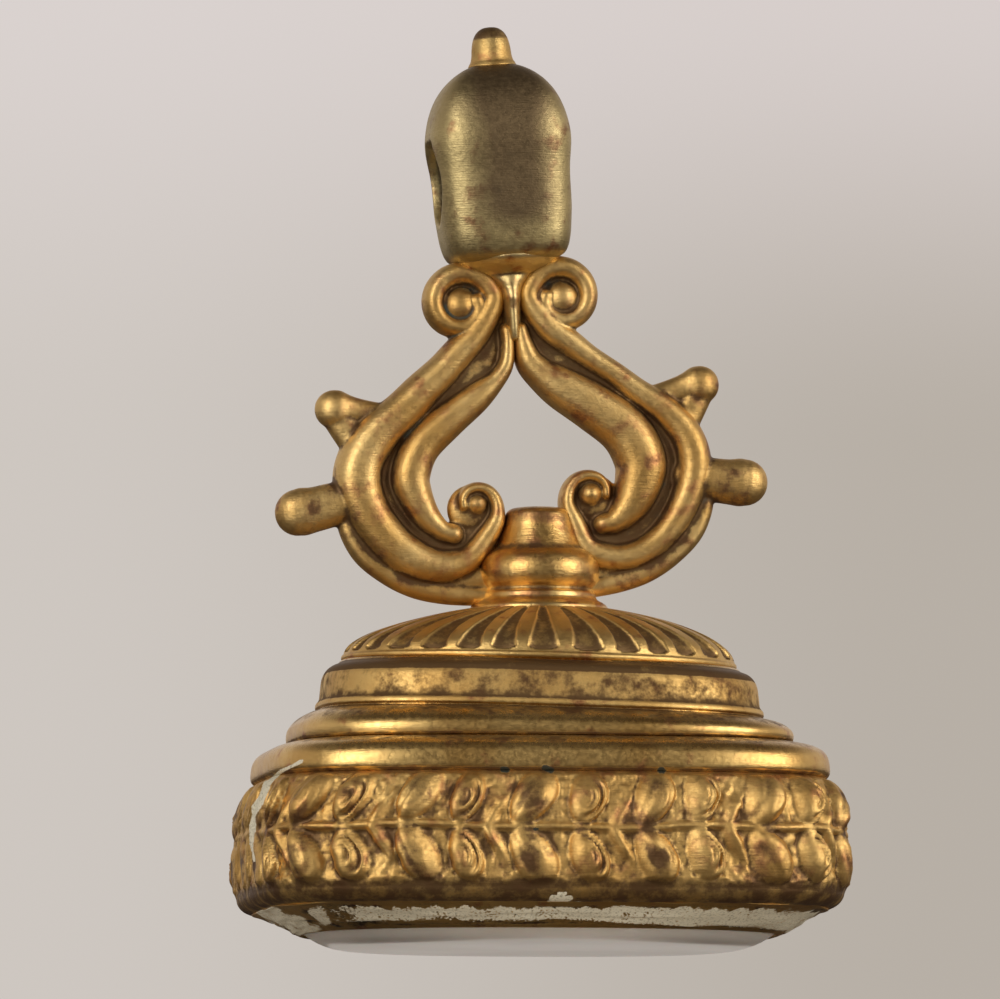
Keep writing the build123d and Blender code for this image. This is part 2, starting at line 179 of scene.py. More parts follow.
def meshFrom(name, verts, quads, tris=None):
    # a mesh in metres with its faces turned outwards by the sign of its volume
    q, t = quads, np.zeros((0, 3), int) if tris is None else tris
    allTris = np.vstack([q[:, [0, 1, 2]], q[:, [0, 2, 3]], t])
    a, b, c = verts[allTris[:, 0]], verts[allTris[:, 1]], verts[allTris[:, 2]]
    if np.einsum("ij,ij->i", a, np.cross(b, c)).sum() < 0:
        q, t = q[:, ::-1], t[:, ::-1]
    mesh = bpy.data.meshes.new(name)
    mesh.vertices.add(len(verts))
    placeVerts(mesh, verts)
    loops = np.concatenate([q.ravel(), t.ravel()])
    starts = np.concatenate([np.arange(len(q)) * 4, len(q) * 4 + np.arange(len(t)) * 3])
    mesh.loops.add(len(loops))
    mesh.loops.foreach_set("vertex_index", loops.astype(np.int32))
    mesh.polygons.add(len(starts))
    mesh.polygons.foreach_set("loop_start", starts.astype(np.int32))
    mesh.update(calc_edges=True)
    mesh.polygons.foreach_set("use_smooth", np.ones(len(starts), bool))
    return mesh


def placeVerts(mesh, verts):
    # millimetres to metres
    mesh.vertices.foreach_set("co", (verts * toMetres).astype(np.float32).ravel())


def ringMesh(name, points):
    # a closed section carried all the way round: a grid that wraps both ways
    return meshFrom(name, points.reshape(-1, 3), gridFaces(*points.shape[:2], True))


def meshArrays(mesh, unit=toMillimetres):
    # places, normals and edges as arrays
    co, normals = np.empty((2, len(mesh.vertices) * 3), np.float32)
    mesh.vertices.foreach_get("co", co)
    mesh.vertex_normals.foreach_get("vector", normals)
    edges = np.empty(len(mesh.edges) * 2, np.int32)
    mesh.edges.foreach_get("vertices", edges)
    return co.reshape(-1, 3) * unit, normals.reshape(-1, 3), edges.reshape(-1, 2)


def relax(points, edges, rounds, share=0.6):
    # moves each point part way to the mean of its neighbours, round after round
    n = len(points)
    ends = np.concatenate([edges[:, 0], edges[:, 1]])
    others = np.concatenate([edges[:, 1], edges[:, 0]])
    count = np.maximum(np.bincount(ends, minlength=n), 1)
    p = points.astype(float)
    for _ in range(rounds):
        mean = np.stack([np.bincount(ends, p[others, axis], n) / count for axis in range(3)], -1)
        p += share * (mean - p)
    return p


def addPiece(name, mesh, node, material, rounds=24, depth=0.06, extra=None, patinaAndShade=0.0):
    # cavity is how far a smoothed copy of the surface stands out over it, in depths:
    # dark recesses above 0.5, rubbed edges below; patinaAndShade, which carries patina and painted shade, is
    # added to it
    co, normals, edges = meshArrays(mesh)
    gap = np.einsum("ij,ij->i", relax(co, edges, rounds) - co, normals)
    cavity = np.clip(0.5 + 0.5 * gap / depth + np.ravel(patinaAndShade), 0, 1)
    for key, values in {"cavity": cavity, **(extra or {})}.items():
        layer = mesh.attributes.new(key, "FLOAT", "POINT")
        layer.data.foreach_set("value", np.asarray(values, np.float32).ravel())
    piece = bpy.data.objects.new(name, mesh)
    bpy.context.collection.objects.link(piece)
    mesh.materials.append(material)
    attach(piece, "root")
    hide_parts(node)


# Material helpers

def newMaterial(name):
    material = bpy.data.materials.new(name)
    material.use_nodes = True
    tree = material.node_tree
    tree.nodes.clear()
    out = tree.nodes.new("ShaderNodeOutputMaterial")
    shader = tree.nodes.new("ShaderNodeBsdfPrincipled")
    tree.links.new(shader.outputs[0], out.inputs[0])
    return material, tree, shader


def feed(tree, socket, value):
    # links an output to the socket, or sets a colour or a number on it
    if isinstance(value, bpy.types.NodeSocket):
        tree.links.new(value, socket)
    else:
        socket.default_value = (*value, 1) if isinstance(value, tuple) else value


def objectCoords(tree):
    return tree.nodes.new("ShaderNodeTexCoord").outputs["Object"]


def attribute(tree, name):
    node = tree.nodes.new("ShaderNodeAttribute")
    node.attribute_name = name
    return node.outputs["Fac"]


def noiseNode(tree, coords, scale, detail=4.0, rough=0.55, stretch=None):
    # noise in object space; scale counts features per millimetre
    if stretch:
        mapping = tree.nodes.new("ShaderNodeMapping")
        mapping.inputs["Scale"].default_value = stretch
        tree.links.new(coords, mapping.inputs[0])
        coords = mapping.outputs[0]
    node = tree.nodes.new("ShaderNodeTexNoise")
    node.inputs["Scale"].default_value = scale * toMillimetres
    node.inputs["Detail"].default_value = detail
    node.inputs["Roughness"].default_value = rough
    tree.links.new(coords, node.inputs["Vector"])
    return node.outputs[0]


def spread(tree, value, low, high, toLow=0.0, toHigh=1.0):
    # a smooth step between two values
    node = tree.nodes.new("ShaderNodeMapRange")
    node.interpolation_type = "SMOOTHSTEP"
    for k, setting in enumerate((value, low, high, toLow, toHigh)):
        feed(tree, node.inputs[k], setting)
    return node.outputs[0]


def math2(tree, kind, a, b):
    node = tree.nodes.new("ShaderNodeMath")
    node.operation = kind
    feed(tree, node.inputs[0], a)
    feed(tree, node.inputs[1], b)
    return node.outputs[0]


def mixNode(tree, kind, sockets, values):
    # a blend of two values by a share; sockets numbers the two values' inputs and the output
    node = tree.nodes.new("ShaderNodeMix")
    node.data_type = kind
    first, second, out = sockets
    for k, value in zip((0, first, second), values):
        feed(tree, node.inputs[k], value)
    return node.outputs[out]


def mixColour(tree, share, a, b):
    return mixNode(tree, "RGBA", (6, 7, 2), (share, a, b))


def mixValue(tree, share, a, b):
    return mixNode(tree, "FLOAT", (2, 3, 0), (share, a, b))


# Finishes: gilding, worn to brown in the recesses and browned as painted shade where a piece adds it, and the
# stone

giltTints = {
    "verdigris": (0.028, 0.034, 0.022), "stain": (0.030, 0.030, 0.018),
    "crustDark": (0.40, 0.37, 0.27), "crustPale": (0.70, 0.65, 0.50),
}
wornGold = {
    "gold": (0.80, 0.54, 0.20), "deep": (0.64, 0.39, 0.125), "copper": (0.52, 0.245, 0.10), "copperAt": 0.56,
    "paintedReflection": None, "brown": (0.115, 0.060, 0.026), "patinaAt": 0.50, "patinaFull": 0.85, "patinaMost": 0.92,
    "blotch": 0.5, "rough": 0.38, "dull": 0, "grain": (1, 1, 12), "bump": 0.35,
    "verdigris": False, "residue": 0, "stain": False,
}
giltLooks = {
    "bandGilt": {
        "gold": (0.76, 0.50, 0.18), "copperAt": 0.48, "patinaAt": 0.46, "patinaFull": 0.80, "blotch": 1.0,
        "rough": 0.45, "residue": 0.5, "stain": True,
    },
    "ringGilt": {
        "patinaAt": 0.56, "patinaFull": 0.90, "blotch": 1.0, "rough": 0.17, "dull": 0.30, "grain": (1, 1, 14),
        "bump": 0.22, "verdigris": True, "residue": 0.5, "stain": True,
    },
    "bezelGilt": {
        "brown": (0.035, 0.022, 0.012), "patinaAt": 0.40, "patinaFull": 0.7, "blotch": 0.9, "residue": 1.3,
    },
    "domeGilt": {"patinaAt": 0.52, "patinaFull": 0.84, "patinaMost": 0.9, "blotch": 0.6},
    "scrollGilt": {
        "gold": (0.82, 0.57, 0.23), "copperAt": 0.50, "patinaFull": 0.76, "blotch": 1.0, "rough": 0.41,
        "verdigris": True, "stain": True,
    },
    "bailGilt": {
        "gold": (0.58, 0.46, 0.22), "deep": (0.46, 0.36, 0.17), "paintedReflection": (0.26, 0.185, 0.10),
        "copper": (0.30, 0.155, 0.075), "copperAt": 0.52, "brown": (0.045, 0.034, 0.020),
        "patinaAt": 0.45, "patinaFull": 0.9, "patinaMost": 0.8, "blotch": 0.9, "rough": 0.40,
    },
    "finialGilt": {"gold": (0.56, 0.43, 0.185), "patinaAt": 0.58, "patinaFull": 0.95, "rough": 0.42},
    "postGilt": {
        "gold": (0.86, 0.68, 0.34), "deep": (0.76, 0.57, 0.25), "patinaAt": 0.62, "patinaFull": 0.95,
        "rough": 0.34,
    },
    "collarGilt": {"gold": (0.82, 0.57, 0.23), "copperAt": 0.46, "blotch": 0.8, "rough": 0.27},
}


def giltMaterial(name, look):
    # gold and copper tones in patches, brown where the cavity layer is deep (patina, and the painted shade
    # that pieces add to it), and fine scratches;
    # green, pale crust and dark spots lie over them where the look asks for them, and on the bail a painted
    # reflection
    material, tree, shader = newMaterial(name)
    coords = objectCoords(tree)
    cavity = attribute(tree, "cavity")
    slow = noiseNode(tree, coords, 0.35)
    mid = noiseNode(tree, coords, 1.3, 5)
    fine = noiseNode(tree, coords, 6.0, 5, 0.65)
    scratch = noiseNode(tree, coords, 2.2, 3, 0.6, look["grain"])

    def plus(a, b):
        return math2(tree, "ADD", a, b)

    def times(a, b):
        return math2(tree, "MULTIPLY", a, b)

    def swing(noise, amount):
        # the noise about zero, scaled
        return times(math2(tree, "SUBTRACT", noise, 0.5), amount)

    gold = mixColour(tree, spread(tree, slow, 0.35, 0.65), look["gold"], look["deep"])
    gold = mixColour(tree, spread(tree, mid, look["copperAt"], 0.72), gold, look["copper"])
    # painted reflection: a darker colour mixed in where the bail faces the dark room
    if look["paintedReflection"]:
        gold = mixColour(tree, attribute(tree, "paintedReflection"), gold, look["paintedReflection"])
    worn = plus(plus(cavity, swing(mid, look["blotch"])), swing(fine, 0.35))
    patina = spread(tree, worn, look["patinaAt"], look["patinaFull"], 0, look["patinaMost"])
    colour = mixColour(tree, patina, gold, look["brown"])
    metal = mixValue(tree, patina, 1.0, 0.75)
    rough = spread(tree, fine, 0.3, 0.75, look["rough"], look["rough"] + 0.16)
    rough = mixValue(tree, patina, rough, 0.5)
    if look["verdigris"]:
        green = times(spread(tree, cavity, 0.62, 0.85), spread(tree, slow, 0.60, 0.68))
        colour = mixColour(tree, green, colour, giltTints["verdigris"])
        metal = mixValue(tree, green, metal, 0.0)
    if look["residue"]:
        speck = noiseNode(tree, coords, 11.0, 3, 0.6)
        grain = plus(swing(speck, look["residue"]), swing(mid, look["residue"]))
        crust = spread(tree, plus(times(attribute(tree, "residue"), 0.86), grain), 0.40, 0.52)
        shade = spread(tree, speck, 0.30, 0.52)
        tint = mixColour(tree, shade, giltTints["crustDark"], giltTints["crustPale"])
        colour = mixColour(tree, crust, colour, tint)
        metal = mixValue(tree, crust, metal, 0.0)
        rough = mixValue(tree, crust, rough, 0.8)
    if look["dull"]:
        rough = plus(rough, times(attribute(tree, "dull"), look["dull"]))
    if look["stain"]:
        spot = spread(tree, plus(attribute(tree, "stain"), swing(fine, 0.8)), 0.4, 0.7)
        colour = mixColour(tree, spot, colour, giltTints["stain"])
        metal = mixValue(tree, spot, metal, 0.0)
        rough = mixValue(tree, spot, rough, 0.8)
    tree.links.new(colour, shader.inputs["Base Color"])
    tree.links.new(metal, shader.inputs["Metallic"])
    tree.links.new(rough, shader.inputs["Roughness"])
    bump = tree.nodes.new("ShaderNodeBump")
    bump.inputs["Strength"].default_value = look["bump"]
    bump.inputs["Distance"].default_value = 0.00006
    height = plus(plus(times(fine, 0.6), times(scratch, 0.5)), times(mid, 1.4))
    tree.links.new(height, bump.inputs["Height"])
    tree.links.new(bump.outputs[0], shader.inputs["Normal"])
    return material


def stoneMaterial(name):
    # polished pale hardstone: cloudy grey with faint lighter flecks
    material, tree, shader = newMaterial(name)
    coords = objectCoords(tree)
    cloud = spread(tree, noiseNode(tree, coords, 0.12, 3), 0.35, 0.65)
    fleck = spread(tree, noiseNode(tree, coords, 0.9, 5), 0.62, 0.8)
    colour = mixColour(tree, cloud, (0.68, 0.64, 0.59), (0.77, 0.73, 0.68))
    colour = mixColour(tree, fleck, colour, (0.86, 0.82, 0.78))
    tree.links.new(colour, shader.inputs["Base Color"])
    shader.inputs["Roughness"].default_value = 0.5
    shader.inputs["IOR"].default_value = 1.54
    shader.inputs["Subsurface Weight"].default_value = 0.15
    shader.inputs["Subsurface Scale"].default_value = 0.001
    return material


gilt = {name: giltMaterial(name, {**wornGold, **look}) for name, look in giltLooks.items()}
hardStone = stoneMaterial("hardStone")
print("materials done")


# Seal stone: oval face, rounded edge, bevel, girdle and flat back

stone = {
    "halfWidth": 7.15, "halfDepth": 5.55, "squareness": 2.5, "bevel": 0.88, "girdle": 0.62, "top": 2.0,
    "columns": 260, "face": [-5.5, -4.6, -3.5, -2.2, -1.4], "back": [-3.0, -5.5],
    "edge": [(-0.8, 0.012), (-0.4, 0.05), (-0.1, 0.11), (0.15, 0.19), (0.4, 0.3), (0.62, 0.43), (0.78, 0.54)],
}


def buildStone():
    # rings from the middle of the face out over the bevel to the back, each a soft oval grown evenly
    section = [(step, 0) for step in stone["face"]] + stone["edge"]
    section += [(stone["bevel"], stone["girdle"]), (stone["bevel"], stone["top"])]
    section += [(step, stone["top"]) for step in stone["back"]]
    grow, high = np.array(section).T[..., None]
    angle = evenTurn(stone["columns"])
    r = reach(angle, stone["halfWidth"] + grow, stone["halfDepth"] + grow, stone["squareness"])
    points = ringAt(angle, r, high)
    points[[0, -1], :, :2] = 0
    addPiece("stoneOval", meshFrom("stoneOval", *poleGrid(points)), "seal_stone", hardStone)


# Setting: sloped rim from the band's foot to the lip over the stone

bezel = {
    "foot": 0.74, "top": 1.32, "lip": 0.52, "land": 0.12, "columns": 900, "slopeRows": 34, "smoothFrom": 30,
    "lipTurn": [(0.07, -0.02), (0.13, 0.02)], "wall": [(0.02, 0.64), (0.03, 0.9), (0.03, 1.32)], "dent": 0.10,
    "marks": [
        (0.22, [(-7.6, 1.45), (-7.2, 1.2)]),
        (0.42, [(-9.5, 1.5), (-8.7, 1.05), (-7.7, 0.75)]),
    ],
}


def buildBezel():
    # closed section carried round the plan: the outer slope blends the cushion outline into the oval,
    # the lip turns in, and the wall goes back up inside
    rows = bezel["slopeRows"]
    angle = evenAngles(bezel["columns"])[0][:, None]
    slope = np.linspace(0, 1, rows)
    ease = slope + 0.05 * np.sin(math.pi * slope) * (1 - slope)
    foot = np.array([[base["halfWidth"]], [base["halfDepth"]]]) - bezel["foot"]
    girdle = np.array([[stone["halfWidth"]], [stone["halfDepth"]]]) + stone["bevel"]
    land = girdle + bezel["land"]
    lipIn, lipUp = np.array(bezel["lipTurn"]).T
    wallOut, wallUp = np.array(bezel["wall"]).T
    half = np.hstack([foot + (land - foot) * ease, land - lipIn, girdle + wallOut])
    footPower = base["squareness"] - base["fall"] * bezel["foot"]
    power = np.full(half.shape[1], stone["squareness"])
    power[:rows] = footPower + (stone["squareness"] - footPower) * ease**0.8
    drop = bezel["top"] + (bezel["lip"] - bezel["top"]) * slope**0.95
    z = np.concatenate([drop, bezel["lip"] + lipUp, wallUp])
    dent = bezel["dent"] * (lattice(angle * 6, np.linspace(0, 9, len(z))[None, :], 3) - 0.5)
    dent[:, bezel["smoothFrom"]:] = 0
    points = ringAt(angle, reach(angle, half[0], half[1], power), z + dent)

    # pale crust in a ragged strip along the slope, patchy at the back, and a few thicker marks
    front = points[:, :rows]
    across, _, ahead = frontPlane(front)
    ragged = 0.16 * lattice(angle * 40, 0 * angle, 12)
    crust = rise(slope - ragged, 0.08, 0.1) * fade(slope, 0.80 + 0.16 * rise(across, 0, 5), 0.14)
    patchy = lattice(angle * 7, slope[None, :] * 2, 11) * 1.1
    patch = np.where(ahead > 0, rise(across, -7.6, 1.8), patchy)
    residue = np.zeros(points.shape[:2])
    residue[:, :rows] = np.maximum(0.76 * crust * patch, 0.8 * strokes(front, bezel["marks"]))
    mesh = ringMesh("sealSetting", points)
    addPiece("sealSetting", mesh, "stone_bezel", gilt["bezelGilt"], 20, 0.05, {"residue": residue})


# Leaf band: two rows of laurel leaves along a stem, alternately plump and curled

band = {
    "top": 5.74, "stem": 3.85, "columns": 1240, "rows": 76,
    "periods": 17, "front": 0.07, "shift": -0.10, "sunk": 0.26, "relief": 0.85, "ground": 0.10,
    "section": [
        (0.74, 1.30), (0.46, 1.33), (0.20, 1.46), (0.04, 1.68), (0.00, 1.95), (0.04, 2.3), (0.07, 2.9),
        (0.07, 3.6), (0.10, 4.2), (0.18, 4.7), (0.30, 5.15), (0.44, 5.5), (0.60, 5.74),
    ],
    "back": [(1.3, 5.74), (1.0, 3.6), (1.2, 1.30)],
}
leaves = [
    {"along": 1.40, "up": 0.95, "lean": 60, "long": 1.16, "wide": 0.70, "curled": 0.0},
    {"along": 3.10, "up": 0.95, "lean": 70, "long": 1.02, "wide": 0.62, "curled": 1.0},
]
residueMarks = [
    (0.07, [(-8.0, 6.55), (-8.7, 6.2), (-9.2, 5.7)]),
    (0.11, [(-9.2, 5.7), (-9.6, 4.9), (-9.72, 4.2)]),
    (0.07, [(-9.72, 4.2), (-9.74, 3.7), (-9.62, 3.2)]),
    (0.15, [(0.2, 1.68), (1.3, 1.74)]),
    (0.13, [(0.5, 1.92), (1.05, 1.97)]),
    (0.09, [(0.68, 2.12), (0.86, 2.14)]),
]
stainMarks = [
    (0.09, [(-1.25, 6.3), (-1.1, 6.28)]),
    (0.11, [(0.15, 6.33), (0.4, 6.24)]),
    (0.08, [(-0.15, 4.33), (-0.05, 4.3)]),
    (0.08, [(4.05, 6.27), (4.15, 6.25)]),
]


def markLayers(points):
    # residue and stain drawn over the band and the mouldings
    return {"residue": strokes(points, residueMarks), "stain": strokes(points, stainMarks)}


def leafForm(leaf, x, up):
    # a soft egg, fuller towards its tip, leaning forward; arcs ring its right side, strongest on a curled
    # leaf, a crease runs down a plump one, and core is 1 at the leaf's middle
    c, d = math.cos(math.radians(leaf["lean"])), math.sin(math.radians(leaf["lean"]))
    x, up = x - leaf["along"], up - leaf["up"]
    along = x * c + up * d
    across = (up * c - x * d) / (leaf["wide"] + 0.13 * along)
    q = np.clip((along / leaf["long"]) ** 2 + across**2, 0, 1)
    curled = leaf["curled"]
    egg = (0.54 - 0.04 * curled) * (1 - q**1.2) ** 0.72
    rings = np.cos(fullTurn * (np.sqrt(q) - 0.05) / 0.38) * np.clip(0.1 - across * 1.8, 0, 1)
    crease = 0.05 * np.exp(-((across - 0.35) / 0.16) ** 2) * (1 - curled)
    core = np.clip(1.1 - 1.5 * q, 0, 1) * (1 - 0.5 * curled)
    return egg + ((0.02 + 0.11 * curled) * rings - crease) * (q < 0.9), core


def leafRelief(s, t):
    # s runs 0 to 1 along one period of two leaves, t in millimetres up from the stem;
    # the heights of leaves, branch and stem are merged by maximum
    up = np.abs(t)
    total, core = np.zeros_like(s), np.zeros_like(s)
    for shift in (-1, 0, 1):
        x = (s + shift) * band["length"] / band["periods"]
        for leaf in leaves:
            form, middle = leafForm(leaf, x, up)
            total, core = np.maximum(total, form), np.maximum(core, middle)
        # a ridge that leaves the stem and follows the back of the plump leaf, lower above the stem
        line = x + 0.05 - 0.50 * up - 0.06 * up**2
        branch = 0.32 * np.exp(-(line / 0.30) ** 2) * np.clip(1.5 - up, 0, 1) ** 0.6
        total = np.maximum(total, branch * np.where(t > 0, 0.75, 1.0))
    stem = 0.29 * np.exp(-(t / 0.18) ** 2)
    return np.maximum(total, stem), core


def buildBand():
    # closed section carried round the plan: swelling outer face with the leaves on it, plain inner face
    angle, band["length"] = evenAngles(band["columns"])
    inset, z = smoothCurve(band["section"], band["rows"]).T[:, None]
    run = (np.arange(band["columns"]) / band["columns"])[:, None]
    s = band["periods"] * (run + band["front"] * np.sin(2 * fullTurn * run) / (2 * fullTurn)) + band["shift"]
    t = z - band["stem"] + 0.05 * np.sin(s * 2.1) + 0.04 * np.sin(s * 5.3 + 1)
    jitter = 0.02 * np.sin(s * 3.7 + 0.6)
    relief, core = leafRelief((s + jitter + 0 * t) % 1.0, t)
    flatEnds = 1 - 0.5 * rise(np.abs(np.cos(angle)), 0.86, 0.08)[:, None]
    relief = np.maximum(relief, band["ground"]) * flatEnds
    ground = np.clip(1.6 - relief / 0.16, 0, 1)
    dents = 0.10 * (lattice(s * 9, z * 2.6, 5) - 0.5)
    dents = dents + (0.02 + 0.08 * ground) * (lattice(s * 26, z * 7.5, 6) - 0.5)
    edge = rise(z, 1.82, 0.30) * fade(z, band["top"], 0.14)
    relief = relief * edge + dents * edge * 0.8
    wave = wobble(angle, 4, 0.03)[:, None]
    outer = ringPoints(angle[:, None], inset + band["sunk"] - relief * band["relief"] + wave, z)
    points = np.concatenate([outer, ringPoints(angle[:, None], *np.array(band["back"]).T[:, None])], 1)

    # brown: painted shade on the plain border, which faces down, and along the top edge under the moulding;
    # patina in patches on the leaves
    height = points[..., 2]
    patinaAndShade = 0.3 * fade(height, 2.35, 0.4) + 0.6 * rise(height, 5.58, 0.06)
    patches = core * (0.46 * lattice(s * 2.3 + 0 * t, t + 40, 9) + 0.10)
    patinaAndShade[:, :band["rows"]] += edge * (patches - 0.08 * ground)
    mesh = ringMesh("laurelBand", points)
    addPiece("laurelBand", mesh, "leaf_band", gilt["bandGilt"], 30, 0.11, markLayers(points), patinaAndShade)


# Mouldings over the band: a quarter round that bulges past its foot, then a second one with a crease,
# the upright frieze with its fillet and a cove under the dome; each has a plain inner wall

lower = {
    "columns": 520, "rows": 44, "seed": 21, "wave": 0.03, "sag": 0.0, "brown": [(5.5, 5.88)],
    "outer": [
        (1.1, 5.70), (0.84, 5.74), (0.73, 5.84), (0.70, 6.0), (0.72, 6.25), (0.78, 6.48), (0.92, 6.68),
        (1.18, 6.83), (1.48, 6.92), (1.70, 6.97), (1.86, 7.0),
    ],
    "inner": [(2.3, 7.0), (2.1, 6.5), (1.5, 6.0), (1.4, 5.70)],
}
upper = {
    "columns": 520, "rows": 96, "seed": 22, "wave": 0.03, "sag": base["sag"],
    # the second brown band is painted shade in the cove under the dome's rim
    "brown": [(6.9, 7.14), (9.22, 9.9)],
    "outer": [
        (2.1, 7.0), (1.86, 7.03), (1.80, 7.18), (1.82, 7.40), (1.94, 7.60), (2.16, 7.78), (2.46, 7.91),
        (2.70, 7.97), (2.78, 8.02), (2.72, 8.10), (2.74, 8.24), (2.84, 8.40), (2.88, 8.75), (2.93, 9.10),
        (3.04, 9.34), (3.20, 9.50), (3.42, 9.60), (3.52, 9.70),
    ],
    "inner": [(4.0, 9.70), (3.7, 8.9), (3.4, 8.1), (2.6, 7.5), (2.4, 7.02)],
}
# frieze browning: its own browner tone, and painted shade that rises towards the dome's rim
frieze = {"from": 8.0, "to": 9.5, "patinaAndShade": 0.14, "shadeBelowRim": 0.18}


def buildMoulding(name, node, form):
    # closed section of (inset, height) points carried round the base's plan, with a slow waviness;
    # sag drops the right side; faces that look up are browned as a painted reflection of the dark room above,
    # and the brown heights are browned, with painted shade in the cove under the dome's rim
    profile = np.vstack([smoothCurve(form["outer"], form["rows"]), form["inner"]])
    inset, z = profile.T[:, None]
    angle, _ = evenAngles(form["columns"])
    wave = wobble(angle, form["seed"], form["wave"])[:, None]
    points = ringPoints(angle[:, None], inset + wave, z + wave * 0.4)
    points[..., 2] -= form["sag"] * points[..., 0] * rise(z, 7.0, 1.0)
    inward, upward = np.gradient(profile, axis=0).T
    slope = inward / np.maximum(np.hypot(inward, upward), 1e-6)
    # painted reflection: faces that look up are browned where they mirror the dark room above
    patinaAndShade = 0.34 * rise(slope, 0.45, 0.3) + 0 * points[..., 2]
    # brown heights: the feet of the rounds, and painted shade in the cove under the dome's rim
    for low, high in form["brown"]:
        patinaAndShade = np.maximum(patinaAndShade, 0.7 * rise(z, low, 0.06) * fade(z, high, 0.06))
    upright = rise(z, frieze["from"], 0.2) * fade(z, frieze["to"], 0.2)
    rounds = fade(z, 6.7, 0.3) + fade(z, 7.55, 0.1) * (z > 7)
    layers = {**markLayers(points), "dull": np.maximum(upright, 0.4 * rounds) + 0 * patinaAndShade}
    # the frieze is browned all over, and darker towards its top as painted shade under the dome's rim
    patinaAndShade = patinaAndShade + upright * (frieze["patinaAndShade"] + frieze["shadeBelowRim"] * rise(z, 8.4, 0.7))
    addPiece(name, ringMesh(name, points), node, gilt["ringGilt"], 30, 0.06, layers, patinaAndShade)


# Fluted dome: a rolled rim, and hollow flutes with flat feet between ribs

dome = {
    "halfWidth": 6.68, "halfDepth": 4.95, "top": 2.35, "rim": 9.70, "band": 0.2, "rise": 1.74, "fall": 1.7,
    "flutes": 30, "depth": 0.17, "columns": 900, "rows": 64,
    "lipOut": [-0.25, -0.02, 0.05, 0.08, 0.08, 0.07, 0.05, 0.03, 0.01, 0.0],
    "lipUp": [0.0, 0.0, 0.02, 0.06, 0.12, 0.17, 0.19],
    "lining": [(0.9, 0.9, 11.1), (2.2, 2.1, 11.1), (4.6, 3.2, 10.4), (5.9, 4.1, 9.8), (6.0, 4.2, 9.7)],
}


def buildDome():
    # oval rings that shrink to the collar as a power of a cosine while they rise as a sine;
    # a flute is a half ellipse across its width, and it narrows and gets shallower as it climbs
    phi = evenTurn(dome["columns"])[:, None]
    rimRows = len(dome["lipUp"])
    turn = np.concatenate([np.zeros(rimRows), np.radians(np.linspace(0, 90, dome["rows"]))])
    share, climb = np.cos(turn) ** dome["fall"], np.sin(turn)
    z = dome["rim"] + dome["band"] + dome["rise"] * climb
    z[:rimRows] = dome["rim"] + np.array(dome["lipUp"])
    lip = np.zeros(len(turn))
    lip[:len(dome["lipOut"])] = dome["lipOut"]
    a = dome["top"] + (dome["halfWidth"] - dome["top"]) * share + lip
    b = dome["top"] + (dome["halfDepth"] - dome["top"]) * share + lip
    phase = (phi / fullTurn * dome["flutes"] + 0.10 * np.sin(7 * phi + 1) + 0.25) % 1.0 - 0.5
    foot = rise(climb, 0.06, 0.07)
    half = 0.38 * np.sqrt(1 - (1 - foot) ** 2) * (1 - 0.50 * climb)
    hollow = np.sqrt(np.clip(1 - (np.abs(phase) / np.maximum(half, 1e-3)) ** 2, 0, 1)) * (half > 0.01)
    dig = dome["depth"] * hollow * (1 - 0.35 * climb)
    inward = dig * np.clip(np.cos(turn), 0.3, 1) * 0.8
    height = z - dig * 0.6 + wobble(phi, 8, 0.02)
    outer = np.stack([(a - inward) * np.cos(phi), (b - inward) * np.sin(phi), height], -1)
    liningA, liningB, liningZ = np.array(dome["lining"]).T
    inner = np.stack([liningA * np.cos(phi), liningB * np.sin(phi), liningZ + 0 * phi], -1)
    points = np.concatenate([outer, inner], 1)
    points[..., 2] -= base["sag"] * points[..., 0] * fade(points[..., 2], 11.3, 1.5)
    # browning: darker in the flute hollows, and painted shade on the rim's lowest rows under its roll
    patinaAndShade = np.zeros(points.shape[:2])
    patinaAndShade[:, :len(turn)] = 0.26 * np.clip(hollow * 1.6 - 0.2, 0, 1)
    patinaAndShade[:, :2] = 0.3
    mesh = ringMesh("flutedDome", points)
    addPiece("flutedDome", mesh, "fluted_dome", gilt["domeGilt"], 26, 0.05, patinaAndShade=patinaAndShade)


# Turned pieces: a collar with a rolled foot, waist, knop and short neck; a thin post that flares
# like a trumpet under the bail; and a thimble-shaped finial with a rolled foot

collar = {
    "rows": 120, "columns": 120, "seed": 31, "wave": 0.012,
    "brown": [(12.15, 12.4, 0.3), (13.55, 13.9, 0.25), (14.5, 16, 0.2)],
    "shape": [
        (0, 11.50), (1.6, 11.50), (2.25, 11.52), (2.36, 11.58), (2.34, 11.72), (2.20, 11.84), (2.04, 11.92),
        (1.96, 12.02), (1.94, 12.16), (1.84, 12.26), (1.84, 12.36), (1.98, 12.52), (2.07, 12.80),
        (2.06, 13.12), (1.94, 13.40), (1.74, 13.58), (1.58, 13.68), (1.48, 13.80), (1.38, 14.05),
        (1.26, 14.4), (1.18, 14.75), (1.10, 14.95), (0.92, 15.07), (0.5, 15.13), (0, 15.14),
    ],
}
post = {
    "rows": 60, "columns": 64, "seed": 0, "wave": 0.0, "brown": [], "drawnOut": 1.9,
    "shape": [
        (0, 7.9), (0.20, 7.93), (0.27, 8.15), (0.31, 8.7), (0.34, 9.2), (0.46, 9.7), (0.74, 10.05),
        (1.15, 10.3), (1.55, 10.5), (1.78, 10.7), (1.80, 10.85), (1.55, 11.0), (0.7, 11.04), (0, 11.05),
    ],
}
